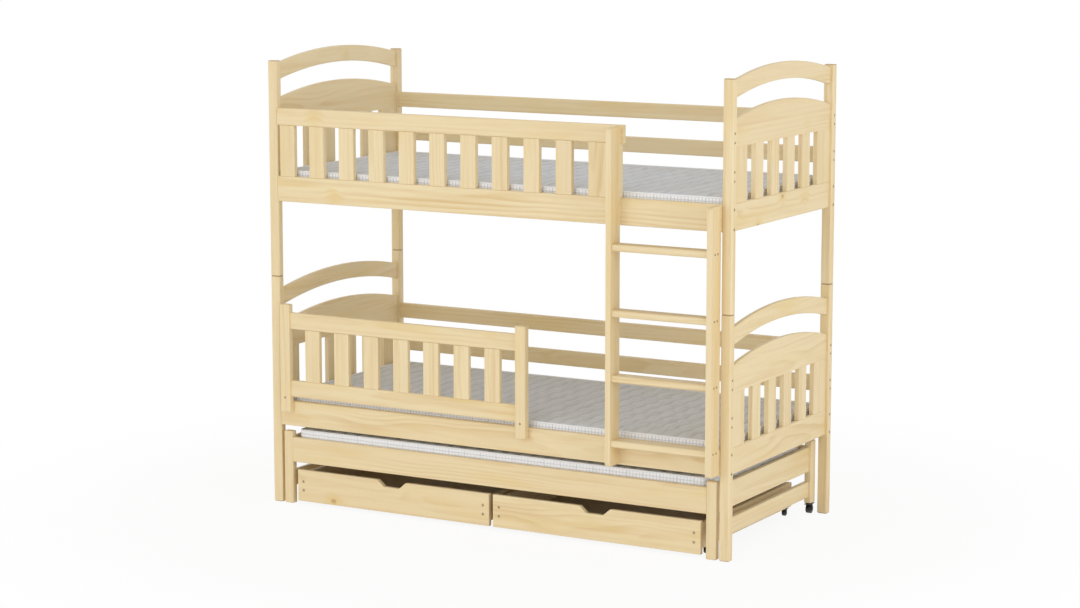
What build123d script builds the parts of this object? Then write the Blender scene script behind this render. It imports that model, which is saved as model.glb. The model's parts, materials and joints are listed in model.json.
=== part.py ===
from build123d import *
import os
from math import sqrt

# Pine bunk bed with a pull-out trundle bed and two rolling drawers.
# Millimetres. X runs along the bed, Y from the front to the back, Z up.
# The origin is the middle of the whole bed's footprint, ladder included, on the floor.

# Overall sizes
bed_length = 1980
bed_width = 895
lower_post_height = 894
upper_post_height = 834

# Posts and the pins that stack the upper bunk on the lower one
post_width = 40
post_depth = 32
post_edge = 4
post_end_edge = 2.5
foot_edge = 3.6
post_pin_diameter = 10
post_pin_length = 90
pin_clearance = 0.1

# Side rails, and the height of their lower edges
rail_height = 98
rail_thickness = 24
board_edge = 2.5
lower_rail_bottom = 309.5
upper_rail_rise = 293.5

# End panels: heights are counted from the lower edge of the side rails
end_board_thickness = 18
end_board_recess = 12
end_slat_top = 298
end_panel_top = 440
arch_underside = 512.5
arch_band = 62.5
arch_rise = 45

# Upright slats of the guards and the end panels
slat_width = 65
slat_gap = 70
end_slot_count = 5

# Guard boards along the back
back_board_height = 60.5
back_board_thickness = 22
back_board_bottoms = (168, 303)

# Guard along the front of the upper bunk
guard_thickness = 20
guard_first_gap = 13.5
guard_slat_count = 10
guard_end_board_width = 130
guard_board_bottom = 294.5
guard_board_height = 66
guard_board_overhang = 11

# Guard that hooks in front of the lower bunk
lower_guard_left = 57
lower_guard_upright_width = 45
lower_guard_upright_depth = 28
upright_end_edge = 2
lower_guard_lap = 37.5
lower_guard_height = 421
lower_guard_span = 1009
lower_guard_slat_count = 7
lower_guard_board_thickness = 18
lower_guard_board_recess = 8
lower_guard_board_height = 64
lower_guard_low_board = 59
lower_guard_high_board = 325

# Ladder
ladder_depth = 72
ladder_stile_thickness = 20
ladder_inner_width = 383
ladder_post_gap = 3
ladder_foot_rise = 4
ladder_long_drop = 6
ladder_short_drop = 3.5
ladder_corner = 14
tread_thickness = 25
tread_depth = 60
tread_setback = 8
tread_edge = 4
first_tread_rise = 100.5
last_tread_drop = 62
tread_count = 4

# Slatted bases and mattresses
ledger_size = 25
bed_slat_width = 70
bed_slat_thickness = 18
bed_slat_count = 13
bed_slat_clearance = 1
bed_slat_end_space = 25
mattress_thickness = 80
mattress_side_clearance = 3
mattress_end_clearance = 2
mattress_lift = 0.3
mattress_edge = 12

# Trundle frame
trundle_gap = 12
trundle_back_gap = 25
trundle_front_leg_depth = 28
trundle_rear_leg_width = 28
trundle_rear_leg_depth = 40
trundle_leg_rise = 23.5
trundle_headroom = 13.7
trundle_rail_recess = 2
trundle_rail_thickness = 20
trundle_stretcher_bottom = 65
trundle_stretcher_gap = 37.5
trundle_ledger_rise = 7
trundle_slat_count = 12
trundle_mattress_end_gap = 22

# Drawers
drawer_count = 2
drawer_end_clearance = 22
drawer_gap = 18
drawer_front_bottom = 13
drawer_headroom = 28.5
drawer_front_thickness = 18
drawer_front_edge = 2
drawer_front_recess = 2
drawer_front_lap = 8
drawer_back_clearance = 64
drawer_side_thickness = 16
drawer_side_drop = 14
drawer_back_drop = 15
drawer_bottom_thickness = 5
drawer_bottom_rise = 8
groove_depth = 6
groove_clearance = 0.2
notch_top_width = 128
notch_bottom_width = 70
notch_depth = 25
notch_round = 8

# Casters: wheels on fixed forks
drawer_wheel_diameter = 24
drawer_wheel_width = 12
drawer_caster_front = 84
drawer_caster_rear = 46
trundle_wheel_diameter = 34
trundle_wheel_width = 18
fork_plate = 3
fork_plate_overhang = 5
fork_cheek = 2.5
fork_cheek_wall = 3.5
fork_side_clearance = 0.8
fork_top_clearance = 2
trundle_fork_pad = 3
axle_diameter = 3
axle_clearance = 0.05

# Places worked out from the sizes above
left_x = -bed_length / 2
right_x = bed_length / 2
front_y = ladder_depth - (bed_width + ladder_depth) / 2
back_y = front_y + bed_width
inner_left_x = left_x + post_width
inner_right_x = right_x - post_width
inner_front_y = front_y + post_depth
inner_back_y = back_y - post_depth
panel_span = inner_back_y - inner_front_y
middle_y = (front_y + back_y) / 2
upper_rail_bottom = lower_post_height + upper_rail_rise
rail_bottoms = {"lower": lower_rail_bottom, "upper": upper_rail_bottom}
bunk_slat_level = ledger_size + bed_slat_thickness
trundle_left = inner_left_x + trundle_gap
trundle_front_leg_width = post_width
trundle_back_y = back_y - trundle_back_gap
trundle_slat_level = trundle_ledger_rise + ledger_size + bed_slat_thickness
trundle_mattress_top = lower_rail_bottom - trundle_headroom
trundle_mattress_bottom = trundle_mattress_top - mattress_thickness - mattress_lift
trundle_rail_bottom = trundle_mattress_bottom - trundle_slat_level
trundle_rail_top = trundle_rail_bottom + rail_height
trundle_leg_top = trundle_rail_top + trundle_leg_rise
trundle_fork_height = fork_top_clearance + fork_plate + trundle_fork_pad
trundle_rear_leg_bottom = trundle_wheel_diameter + trundle_fork_height


def block(x, y, z):
    """A plain box between the pairs of limits x, y and z."""
    size = (x[1] - x[0], y[1] - y[0], z[1] - z[0])
    middle = ((x[0] + x[1]) / 2, (y[0] + y[1]) / 2, (z[0] + z[1]) / 2)
    return Pos(*middle) * Box(*size)


def board(x, y, z, along, edge=board_edge):
    """A box whose four edges along one axis are eased."""
    plain = block(x, y, z)
    return chamfer(plain.edges().filter_by(along), edge)


def pin_x(radius, length):
    """A round pin or bore along X, centred on the origin."""
    return Rot(0, 90, 0) * Cylinder(radius, length)


def on_both_ends(shape):
    """The shape and its mirror image at the other end of the bed."""
    return [shape, mirror(shape, about=Plane.YZ)]


def spread(count, first, last):
    """Evenly spaced values from first to last."""
    step = (last - first) / (count - 1)
    return [first + step * index for index in range(count)]


def save(name, solids):
    """Write one node of one or more separate solids."""
    os.makedirs("parts", exist_ok=True)
    export_step(Compound(children=list(solids)), f"parts/{name}.step")


# Posts, their pins and the side rails
post_middle_y = {
    "front": front_y + post_depth / 2,
    "rear": back_y - post_depth / 2,
}


def post_pin(side):
    """The round pin that joins a lower and an upper post at the left end."""
    pin = Cylinder(post_pin_diameter / 2, post_pin_length)
    return Pos(left_x + post_width / 2, post_middle_y[side], lower_post_height) * pin


def post_pin_bore(side):
    """The bore for that pin in both posts."""
    bore = Cylinder(post_pin_diameter / 2 + pin_clearance, post_pin_length + 2 * pin_clearance)
    return Pos(left_x + post_width / 2, post_middle_y[side], lower_post_height) * bore


def post(side, level):
    """One post of the left end, with eased edges and its bores."""
    y = {"front": (front_y, inner_front_y), "rear": (inner_back_y, back_y)}[side]
    low = {"lower": 0, "upper": lower_post_height}[level]
    high = {"lower": lower_post_height, "upper": lower_post_height + upper_post_height}[level]
    low_edge = {"lower": foot_edge, "upper": post_end_edge}[level]
    solid = board((left_x, inner_left_x), y, (low, high), Axis.Z, post_edge)
    solid = chamfer(solid.faces().sort_by(Axis.Z)[0].edges(), low_edge)
    solid = chamfer(solid.faces().sort_by(Axis.Z)[-1].edges(), post_end_edge)
    return solid - post_pin_bore(side)


def side_rail(side, level):
    """A side rail between the posts."""
    y = {"front": (front_y, front_y + rail_thickness), "rear": (back_y - rail_thickness, back_y)}[side]
    bottom = rail_bottoms[level]
    return board((inner_left_x, inner_right_x), y, (bottom, bottom + rail_height), Axis.X)


# End panels
arch_half_span = panel_span / 2
arch_outer_radius = (arch_half_span**2 + arch_rise**2) / (2 * arch_rise)
arch_inner_radius = arch_outer_radius - arch_band
end_board_x = (left_x + end_board_recess, left_x + end_board_recess + end_board_thickness)


def arch_drop(radius):
    """How far an arc of this radius falls from its crown to the posts."""
    return radius - sqrt(radius**2 - arch_half_span**2)


def end_profile(underside, top):
    """The left end's board between two edges that run from the front to the rear post."""
    front = Line(underside @ 0, top @ 0)
    rear = Line(underside @ 1, top @ 1)
    face = make_face(underside + rear + top + front)
    solid = extrude(face, amount=end_board_thickness, dir=(1, 0, 0))
    return chamfer(solid.edges().filter_by(GeomType.CIRCLE), board_edge)


def arc_between_posts(crown, radius):
    """A shallow arc from the front post to the rear post."""
    ends = crown - arch_drop(radius)
    x = end_board_x[0]
    return ThreePointArc((x, inner_front_y, ends), (x, middle_y, crown), (x, inner_back_y, ends))


def arch_rail(level):
    """The arched top rail of an end, a curved band of even height."""
    underside = arc_between_posts(rail_bottoms[level] + arch_underside, arch_inner_radius)
    top = arc_between_posts(rail_bottoms[level] + arch_underside + arch_band, arch_outer_radius)
    return end_profile(underside, top)


def end_top_board(level):
    """The board above the end slats, with an arched upper edge."""
    x = end_board_x[0]
    low = rail_bottoms[level] + end_slat_top
    top = arc_between_posts(rail_bottoms[level] + end_panel_top, arch_inner_radius)
    underside = Line((x, inner_front_y, low), (x, inner_back_y, low))
    return end_profile(underside, top)


def end_bottom_board(level):
    """The board below the end slats, level with the side rails."""
    bottom = rail_bottoms[level]
    return board(end_board_x, (inner_front_y, inner_back_y), (bottom, bottom + rail_height), Axis.Y)


def end_slats(level):
    """Upright slats of one end: the outer two fill the room to the posts."""
    z = (rail_bottoms[level] + rail_height, rail_bottoms[level] + end_slat_top)
    open_width = end_slot_count * slat_gap + (end_slot_count - 1) * slat_width
    first_slot = middle_y - open_width / 2
    slats = [block(end_board_x, (inner_front_y, first_slot), z)]
    for index in range(end_slot_count - 1):
        start = first_slot + slat_gap + index * (slat_gap + slat_width)
        slats.append(block(end_board_x, (start, start + slat_width), z))
    slats.append(block(end_board_x, (middle_y + open_width / 2, inner_back_y), z))
    return slats


def back_guard_boards(level):
    """The two boards between the rear posts, level with the posts' inner faces."""
    y = (inner_back_y, inner_back_y + back_board_thickness)
    boards = []
    for bottom in back_board_bottoms:
        low = rail_bottoms[level] + bottom
        boards.append(board((inner_left_x, inner_right_x), y, (low, low + back_board_height), Axis.X))
    return boards


# Ladder
ladder_right_x = inner_right_x - ladder_post_gap
ladder_inner_right = ladder_right_x - ladder_stile_thickness
ladder_inner_left = ladder_inner_right - ladder_inner_width
ladder_left_x = ladder_inner_left - ladder_stile_thickness
ladder_y = (front_y - ladder_depth, front_y)
ladder_bottom = lower_rail_bottom + ladder_foot_rise
ladder_short_top = upper_rail_bottom + rail_height - ladder_short_drop
ladder_long_top = upper_rail_bottom + guard_board_bottom + guard_board_height - ladder_long_drop
first_tread_top = lower_rail_bottom + first_tread_rise
last_tread_top = upper_rail_bottom - last_tread_drop


def ladder_stile(x, top):
    """A flat stile with rounded front corners."""
    solid = block((x, x + ladder_stile_thickness), ladder_y, (ladder_bottom, top))
    return fillet(solid.edges().filter_by(Axis.X).sort_by(Axis.Y)[:2], ladder_corner)


def ladder_tread(top):
    """A flat tread between the stiles, with eased edges."""
    start = ladder_y[0] + tread_setback
    x = (ladder_inner_left, ladder_inner_right)
    return board(x, (start, start + tread_depth), (top - tread_thickness, top), Axis.X, tread_edge)


# Guard of the upper bunk
guard_y = (front_y, front_y + guard_thickness)
guard_end_board_right = ladder_left_x + ladder_stile_thickness
guard_end_board_left = guard_end_board_right - guard_end_board_width
guard_z = (upper_rail_bottom + rail_height, upper_rail_bottom + guard_board_bottom)


def upper_guard_slats():
    """Slats on the side rail, evenly spaced, and the wide board behind the ladder."""
    first = inner_left_x + guard_first_gap
    last = guard_end_board_left - slat_gap - slat_width
    slats = []
    for start in spread(guard_slat_count, first, last):
        slats.append(block((start, start + slat_width), guard_y, guard_z))
    slats.append(block((guard_end_board_left, guard_end_board_right), guard_y, guard_z))
    return slats


def upper_guard_top_board():
    """The top board of the guard, from the post to just past the ladder."""
    x = (inner_left_x, guard_end_board_right + guard_board_overhang)
    z = (guard_z[1], guard_z[1] + guard_board_height)
    return board(x, guard_y, z, Axis.X)


# Guard of the lower bunk
lower_guard_inner = left_x + lower_guard_left + lower_guard_upright_width
lower_guard_bottom = lower_rail_bottom + rail_height - lower_guard_lap
lower_guard_front = front_y - lower_guard_upright_depth
lower_guard_y = (
    lower_guard_front + lower_guard_board_recess,
    lower_guard_front + lower_guard_board_recess + lower_guard_board_thickness,
)


def lower_guard_upright(x):
    """An upright that laps the side rail from the front."""
    z = (lower_guard_bottom, lower_guard_bottom + lower_guard_height)
    width = (x, x + lower_guard_upright_width)
    solid = board(width, (lower_guard_front, front_y), z, Axis.Z)
    return chamfer(solid.faces().sort_by(Axis.Z)[-1].edges(), upright_end_edge)


def lower_guard_board(rise):
    """A board between the uprights, at this rise above their feet."""
    low = lower_guard_bottom + rise
    x = (lower_guard_inner, lower_guard_inner + lower_guard_span)
    return board(x, lower_guard_y, (low, low + lower_guard_board_height), Axis.X)


def lower_guard_slats():
    """Upright slats between the two boards, with even gaps."""
    low = lower_guard_bottom + lower_guard_low_board + lower_guard_board_height
    high = lower_guard_bottom + lower_guard_high_board
    room = lower_guard_span - lower_guard_slat_count * slat_width
    gap = room / (lower_guard_slat_count + 1)
    slats = []
    for index in range(lower_guard_slat_count):
        start = lower_guard_inner + gap + index * (gap + slat_width)
        slats.append(block((start, start + slat_width), lower_guard_y, (low, high)))
    return slats


# Slatted bases and mattresses
def ledgers(x, front, rear, low):
    """Two square ledgers along the inner faces of the side rails."""
    z = (low, low + ledger_size)
    return [block(x, (front, front + ledger_size), z), block(x, (rear - ledger_size, rear), z)]


def bed_slats(x, y, low, count):
    """Evenly spaced slats across the bed, resting on the ledgers."""
    across = (y[0] + bed_slat_clearance, y[1] - bed_slat_clearance)
    z = (low, low + bed_slat_thickness)
    starts = spread(count, x[0], x[1] - bed_slat_width)
    return [block((start, start + bed_slat_width), across, z) for start in starts]


def mattress(x, y, low):
    """A plain foam block with eased upright corners."""
    z = (low + mattress_lift, low + mattress_lift + mattress_thickness)
    return board(x, y, z, Axis.Z, mattress_edge)


bunk_inner_y = (front_y + rail_thickness, back_y - rail_thickness)
bunk_slat_x = (inner_left_x + bed_slat_end_space, inner_right_x - bed_slat_end_space)
bunk_mattress_x = (inner_left_x + mattress_end_clearance, inner_right_x - mattress_end_clearance)
bunk_mattress_y = (bunk_inner_y[0] + mattress_side_clearance, bunk_inner_y[1] - mattress_side_clearance)


# Trundle frame
trundle_rail_z = (trundle_rail_bottom, trundle_rail_top)
trundle_stretcher_z = (trundle_stretcher_bottom, trundle_rail_bottom - trundle_stretcher_gap)
trundle_front_leg_x = (trundle_left, trundle_left + trundle_front_leg_width)
trundle_rear_leg_x = (trundle_left, trundle_left + trundle_rear_leg_width)
trundle_rear_leg_y = (trundle_back_y - trundle_rear_leg_depth, trundle_back_y)
trundle_side_middle = trundle_left + trundle_front_leg_width / 2
trundle_side_x = (
    trundle_side_middle - trundle_rail_thickness / 2,
    trundle_side_middle + trundle_rail_thickness / 2,
)
trundle_front_rail_y = (
    front_y + trundle_rail_recess,
    front_y + trundle_rail_recess + trundle_rail_thickness,
)
trundle_rear_rail_start = trundle_rear_leg_y[0] + (trundle_rear_leg_depth - trundle_rail_thickness) / 2
trundle_rear_rail_y = (trundle_rear_rail_start, trundle_rear_rail_start + trundle_rail_thickness)


def eased_leg(x, y, z):
    """A trundle leg with eased edges and ends."""
    solid = board(x, y, z, Axis.Z)
    solid = chamfer(solid.faces().sort_by(Axis.Z)[0].edges(), board_edge)
    return chamfer(solid.faces().sort_by(Axis.Z)[-1].edges(), board_edge)


def trundle_front_leg():
    """The left front leg, which stands on the floor."""
    y = (front_y, front_y + trundle_front_leg_depth)
    return eased_leg(trundle_front_leg_x, y, (0, trundle_leg_top))


def trundle_rear_leg():
    """The left rear leg, which ends above its caster."""
    return eased_leg(trundle_rear_leg_x, trundle_rear_leg_y, (trundle_rear_leg_bottom, trundle_leg_top))


def trundle_front_rail():
    """The front rail between the front legs."""
    x = (trundle_front_leg_x[1], -trundle_front_leg_x[1])
    return board(x, trundle_front_rail_y, trundle_rail_z, Axis.X)


def trundle_rear_rail():
    """The rear rail between the rear legs."""
    x = (trundle_rear_leg_x[1], -trundle_rear_leg_x[1])
    return board(x, trundle_rear_rail_y, trundle_rail_z, Axis.X)


def trundle_side_board(z):
    """A board of the left side, from the front leg to the rear leg."""
    y = (front_y + trundle_front_leg_depth, trundle_rear_leg_y[0])
    return board(trundle_side_x, y, z, Axis.Y)


# Drawers
drawer_room = -2 * trundle_front_leg_x[1] - 2 * drawer_end_clearance
drawer_width = (drawer_room - (drawer_count - 1) * drawer_gap) / drawer_count
drawer_pitch = drawer_width + drawer_gap
drawer_half = drawer_width / 2
drawer_front_y = front_y + drawer_front_recess
drawer_back_y = trundle_back_y - drawer_back_clearance
drawer_box_y = (drawer_front_y + drawer_front_thickness, drawer_back_y)
drawer_front_top = trundle_rail_bottom - drawer_headroom
drawer_side_z = (
    drawer_wheel_diameter + fork_top_clearance + fork_plate,
    drawer_front_top - drawer_side_drop,
)
drawer_floor_bottom = drawer_side_z[0] + drawer_bottom_rise
drawer_side_outer = drawer_half - drawer_front_lap
drawer_side_inner = drawer_side_outer - drawer_side_thickness


def drawer_floor(x_clearance, z_clearance):
    """The bottom panel, or with clearances the room its grooves give it."""
    reach = drawer_side_inner + groove_depth - groove_clearance + x_clearance
    front_end = drawer_box_y[0] - groove_depth + groove_clearance - x_clearance
    return block(
        (-reach, reach),
        (front_end, drawer_box_y[1]),
        (drawer_floor_bottom - z_clearance, drawer_floor_bottom + drawer_bottom_thickness + z_clearance),
    )


def drawer_notch():
    """The finger notch: a trapezium with rounded corners, cut through the front."""
    low = drawer_front_top - notch_depth
    above = drawer_front_top + notch_round
    flare = (notch_top_width - notch_bottom_width) / 2 / notch_depth
    wide = notch_top_width / 2 + flare * notch_round
    narrow = notch_bottom_width / 2
    outline = Polyline((-wide, above), (-narrow, low), (narrow, low), (wide, above), close=True)
    sketch = make_face(outline)
    sketch = fillet(sketch.vertices().group_by(Axis.Y)[0], notch_round)
    plane = Plane(origin=(0, drawer_front_y, 0), x_dir=(1, 0, 0), z_dir=(0, -1, 0))
    return extrude(plane * sketch, amount=-drawer_front_thickness)


def drawer_front():
    """The drawer front with its notch and the groove for the bottom panel."""
    z = (drawer_front_bottom, drawer_front_top)
    y = (drawer_front_y, drawer_front_y + drawer_front_thickness)
    solid = board((-drawer_half, drawer_half), y, z, Axis.X, drawer_front_edge)
    solid = solid - drawer_notch()
    shoulders = solid.edges().filter_by(Axis.Y).group_by(Axis.Z)[-1].sort_by(Axis.X)
    solid = fillet(shoulders[1:-1], notch_round)
    return solid - drawer_floor(groove_clearance, groove_clearance / 2)


def drawer_box():
    """Two sides and a back, grooved for the bottom panel."""
    right = block((drawer_side_inner, drawer_side_outer), drawer_box_y, drawer_side_z)
    right = right - drawer_floor(groove_clearance, groove_clearance / 2)
    left = mirror(right, about=Plane.YZ)
    back = block(
        (-drawer_side_inner, drawer_side_inner),
        (drawer_back_y - drawer_side_thickness, drawer_back_y),
        (drawer_floor_bottom + drawer_bottom_thickness, drawer_front_top - drawer_back_drop),
    )
    return [right, left, back]


# Casters
def wheel(diameter, width):
    """A solid wheel on the X axis, bored for its axle."""
    return pin_x(diameter / 2, width) - pin_x(axle_diameter / 2 + axle_clearance, width)


def fork(diameter, width):
    """A bent plate over the wheel, with the axle riveted between its two cheeks."""
    inner = width / 2 + fork_side_clearance
    outer = inner + fork_cheek
    seat = diameter / 2 + fork_top_clearance
    reach = diameter / 2 + fork_plate_overhang
    cheek_half = axle_diameter / 2 + fork_cheek_wall
    plate = block((-outer, outer), (-reach, reach), (seat, seat + fork_plate))
    cheek = block((inner, outer), (-cheek_half, cheek_half), (-cheek_half, seat))
    axle = pin_x(axle_diameter / 2, 2 * inner)
    return plate + cheek + mirror(cheek, about=Plane.YZ) + axle


def drawer_caster_places():
    """Caster centres under the two side boards, front and rear, in the drawer's own frame."""
    middle = (drawer_side_inner + drawer_side_outer) / 2
    height = drawer_wheel_diameter / 2
    places = {}
    rows = {"front": front_y + drawer_caster_front, "rear": drawer_back_y - drawer_caster_rear}
    for row_name, y in rows.items():
        for side_name, side in (("left", -1), ("right", 1)):
            places[f"{row_name}_{side_name}"] = Pos(side * middle, y, height)
    return places


def trundle_caster_place():
    """The centre of the left caster, below the rear leg."""
    x = (trundle_rear_leg_x[0] + trundle_rear_leg_x[1]) / 2
    y = (trundle_rear_leg_y[0] + trundle_rear_leg_y[1]) / 2
    return Pos(x, y, trundle_wheel_diameter / 2)


def trundle_fork():
    """The trundle's fork, its plate packed up to the foot of the leg."""
    seat = trundle_rear_leg_bottom - trundle_wheel_diameter / 2
    half = trundle_wheel_width / 2
    pad = block((-half, half), (-half, half), (seat - trundle_fork_pad, seat))
    return fork(trundle_wheel_diameter, trundle_wheel_width) + pad


def build_bunks():
    """Write the nodes that both bunks have."""
    for level in ("lower", "upper"):
        bottom = rail_bottoms[level]
        left_posts = [post("front", level), post("rear", level)]
        save(f"{level}_left_posts", left_posts)
        save(f"{level}_right_posts", [mirror(solid, about=Plane.YZ) for solid in left_posts])
        save(f"{level}_front_side_rail", [side_rail("front", level)])
        save(f"{level}_rear_side_rail", [side_rail("rear", level)])
        save(f"{level}_arch_rails", on_both_ends(arch_rail(level)))
        boards = on_both_ends(end_top_board(level)) + on_both_ends(end_bottom_board(level))
        save(f"{level}_end_boards", boards)
        slats = end_slats(level)
        save(f"{level}_end_slats", slats + [mirror(solid, about=Plane.YZ) for solid in slats])
        save(f"{level}_back_guard_boards", back_guard_boards(level))
        save(f"{level}_slat_ledgers", ledgers((inner_left_x, inner_right_x), *bunk_inner_y, bottom))
        slats = bed_slats(bunk_slat_x, bunk_inner_y, bottom + ledger_size, bed_slat_count)
        save(f"{level}_bed_slats", slats)
        save(f"{level}_mattress", [mattress(bunk_mattress_x, bunk_mattress_y, bottom + bunk_slat_level)])


def build_post_pins():
    """Write the pins between the lower and the upper posts."""
    pins = on_both_ends(post_pin("front")) + on_both_ends(post_pin("rear"))
    save("post_pins", pins)


def build_guards_and_ladder():
    """Write the two front guards and the ladder."""
    save("upper_guard_slats", upper_guard_slats())
    save("upper_guard_top_board", [upper_guard_top_board()])
    left = left_x + lower_guard_left
    right = lower_guard_inner + lower_guard_span
    save("lower_guard_uprights", [lower_guard_upright(left), lower_guard_upright(right)])
    boards = [lower_guard_board(rise) for rise in (lower_guard_low_board, lower_guard_high_board)]
    save("lower_guard_boards", boards)
    save("lower_guard_slats", lower_guard_slats())
    stiles = [
        ladder_stile(ladder_left_x, ladder_long_top),
        ladder_stile(ladder_inner_right, ladder_short_top),
    ]
    save("ladder_stiles", stiles)
    tread_tops = spread(tread_count, first_tread_top, last_tread_top)
    save("ladder_treads", [ladder_tread(top) for top in tread_tops])


def build_trundle():
    """Write the trundle bed's frame, base, mattress and casters."""
    save("trundle_front_legs", on_both_ends(trundle_front_leg()))
    save("trundle_rear_legs", on_both_ends(trundle_rear_leg()))
    save("trundle_front_rail", [trundle_front_rail()])
    save("trundle_rear_rail", [trundle_rear_rail()])
    save("trundle_end_rails", on_both_ends(trundle_side_board(trundle_rail_z)))
    save("trundle_end_stretchers", on_both_ends(trundle_side_board(trundle_stretcher_z)))
    inner_x = (trundle_side_x[1], -trundle_side_x[1])
    inner_y = (trundle_front_rail_y[1], trundle_rear_rail_y[0])
    low = trundle_rail_bottom + trundle_ledger_rise
    save("trundle_slat_ledgers", ledgers((trundle_front_leg_x[1], -trundle_front_leg_x[1]), *inner_y, low))
    slat_x = (inner_x[0] + bed_slat_end_space, inner_x[1] - bed_slat_end_space)
    save("trundle_bed_slats", bed_slats(slat_x, inner_y, low + ledger_size, trundle_slat_count))
    mattress_x = (inner_x[0] + trundle_mattress_end_gap, inner_x[1] - trundle_mattress_end_gap)
    mattress_y = (inner_y[0] + mattress_side_clearance, inner_y[1] - mattress_side_clearance)
    save("trundle_mattress", [mattress(mattress_x, mattress_y, trundle_mattress_bottom)])
    place = trundle_caster_place()
    forks = on_both_ends(place * trundle_fork())
    save("trundle_caster_forks", forks)
    left_wheel, right_wheel = on_both_ends(place * wheel(trundle_wheel_diameter, trundle_wheel_width))
    save("trundle_left_wheel", [left_wheel])
    save("trundle_right_wheel", [right_wheel])


def build_drawers():
    """Write both drawers, each with a front, a box, a bottom panel and four casters."""
    for index, name in enumerate(("left", "right")):
        shift = Pos((index - (drawer_count - 1) / 2) * drawer_pitch, 0, 0)
        save(f"{name}_drawer_front", [shift * drawer_front()])
        save(f"{name}_drawer_box", [shift * solid for solid in drawer_box()])
        save(f"{name}_drawer_bottom", [shift * drawer_floor(0, 0)])
        places = drawer_caster_places()
        forks = [place * fork(drawer_wheel_diameter, drawer_wheel_width) for place in places.values()]
        save(f"{name}_drawer_caster_forks", [shift * solid for solid in forks])
        for place_name, place in places.items():
            turned = shift * place * wheel(drawer_wheel_diameter, drawer_wheel_width)
            save(f"{name}_drawer_wheel_{place_name}", [turned])


build_bunks()
build_post_pins()
build_guards_and_ladder()
build_trundle()
build_drawers()
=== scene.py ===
import json
import math

import bmesh
import bpy
import numpy as np
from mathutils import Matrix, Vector


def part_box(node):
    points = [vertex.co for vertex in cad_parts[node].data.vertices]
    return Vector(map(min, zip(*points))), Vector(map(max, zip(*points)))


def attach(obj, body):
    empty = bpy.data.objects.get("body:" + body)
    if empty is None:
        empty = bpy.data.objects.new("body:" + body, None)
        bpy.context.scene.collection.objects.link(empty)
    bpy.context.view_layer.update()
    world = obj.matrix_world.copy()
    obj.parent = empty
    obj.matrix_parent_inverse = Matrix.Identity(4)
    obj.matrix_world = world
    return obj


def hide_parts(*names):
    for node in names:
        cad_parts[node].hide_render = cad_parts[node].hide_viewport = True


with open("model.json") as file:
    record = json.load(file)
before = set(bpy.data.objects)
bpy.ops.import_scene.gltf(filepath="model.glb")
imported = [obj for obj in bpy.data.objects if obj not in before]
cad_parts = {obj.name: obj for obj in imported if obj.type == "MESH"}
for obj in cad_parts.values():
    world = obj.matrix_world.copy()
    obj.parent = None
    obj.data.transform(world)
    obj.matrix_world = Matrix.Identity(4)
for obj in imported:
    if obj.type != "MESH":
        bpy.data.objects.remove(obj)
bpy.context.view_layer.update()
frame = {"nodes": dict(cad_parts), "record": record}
nodes = frame["nodes"]

# Details that the frame doesn't carry, read from the photograph. Lengths are in metres.
quilt_pitch = 0.060
quilt_columns = 5
quilt_wave = 0.007
quilt_wave_length = 0.105
quilt_puff = 0.0035
seam_dip = 0.0012
crown_height = 0.001
cover_side_gap = 0.0035
cover_top_gap = 0.0045
cover_edge_radius = 0.012
mattress_corner_radius = 0.022
cloth_frames = 18
edge_rows = 4
side_cell = 0.0138
side_cell_depth = 0.0016
rows_per_cell = 4
piping_radius = 0.0034
stitch_spacing = 0.012

head_points = 18
socket_sides = 6
smooth_rings = 3
socket_ring = 4
bolt_head_radius = 0.0056
board_screw_radius = 0.0050
small_screw_radius = 0.0046
post_edge_distance = 0.016
bolt_rises = (0.010, 0.080)
board_screw_rises = (0.180, 0.213, 0.316, 0.3485)
tread_pitch = 0.2385
first_tread_top = 0.410
tread_half_thickness = 0.0125

white = (1, 1, 1, 1)
floor_size = 14
floor_drop = 0.0005
camera_place = (5.0943, -8.9673, 2.4155)
camera_turn = 0.51842
camera_down = 0.15507
camera_lens = 90.619


# Small helpers for node trees


def feed(tree, node, key, value):
    """Links a socket to a node's input, or sets the input's own value."""
    if isinstance(value, bpy.types.NodeSocket):
        tree.links.new(value, node.inputs[key])
    else:
        node.inputs[key].default_value = value


def add(tree, kind, inputs=None, **settings):
    """Adds a node, sets its properties, and feeds its inputs by name or index."""
    node = tree.nodes.new(kind)
    for key, value in settings.items():
        setattr(node, key, value)
    for key, value in (inputs or {}).items():
        feed(tree, node, key, value)
    return node


def calc(tree, operation, a, b=0.0, c=0.0):
    node = add(tree, "ShaderNodeMath", {0: a, 1: b, 2: c}, operation=operation)
    return node.outputs[0]


def clamp01(tree, a):
    return add(tree, "ShaderNodeClamp", {0: a}).outputs[0]


def vec(tree, operation, a, b=(0, 0, 0)):
    node = add(tree, "ShaderNodeVectorMath", {0: a, 1: b}, operation=operation)
    return node.outputs[0]


def scaled(tree, a, factors):
    return vec(tree, "MULTIPLY", a, factors)


def blend(tree, factor, a, b):
    return add(tree, "ShaderNodeMix", {0: factor, 6: a, 7: b}, data_type="RGBA").outputs[2]


def step_between(tree, value, low, high):
    node = add(
        tree,
        "ShaderNodeMapRange",
        {"Value": value, "From Min": low, "From Max": high},
        interpolation_type="SMOOTHSTEP",
    )
    return node.outputs[0]


def noise_of(tree, place, scale=1.0, detail=2.0, rough=0.5):
    inputs = {"Vector": place, "Scale": scale, "Detail": detail, "Roughness": rough}
    return add(tree, "ShaderNodeTexNoise", inputs).outputs[0]


def new_material(name):
    material = bpy.data.materials.new(name)
    material.use_nodes = True
    material.node_tree.nodes.clear()
    return material


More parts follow.
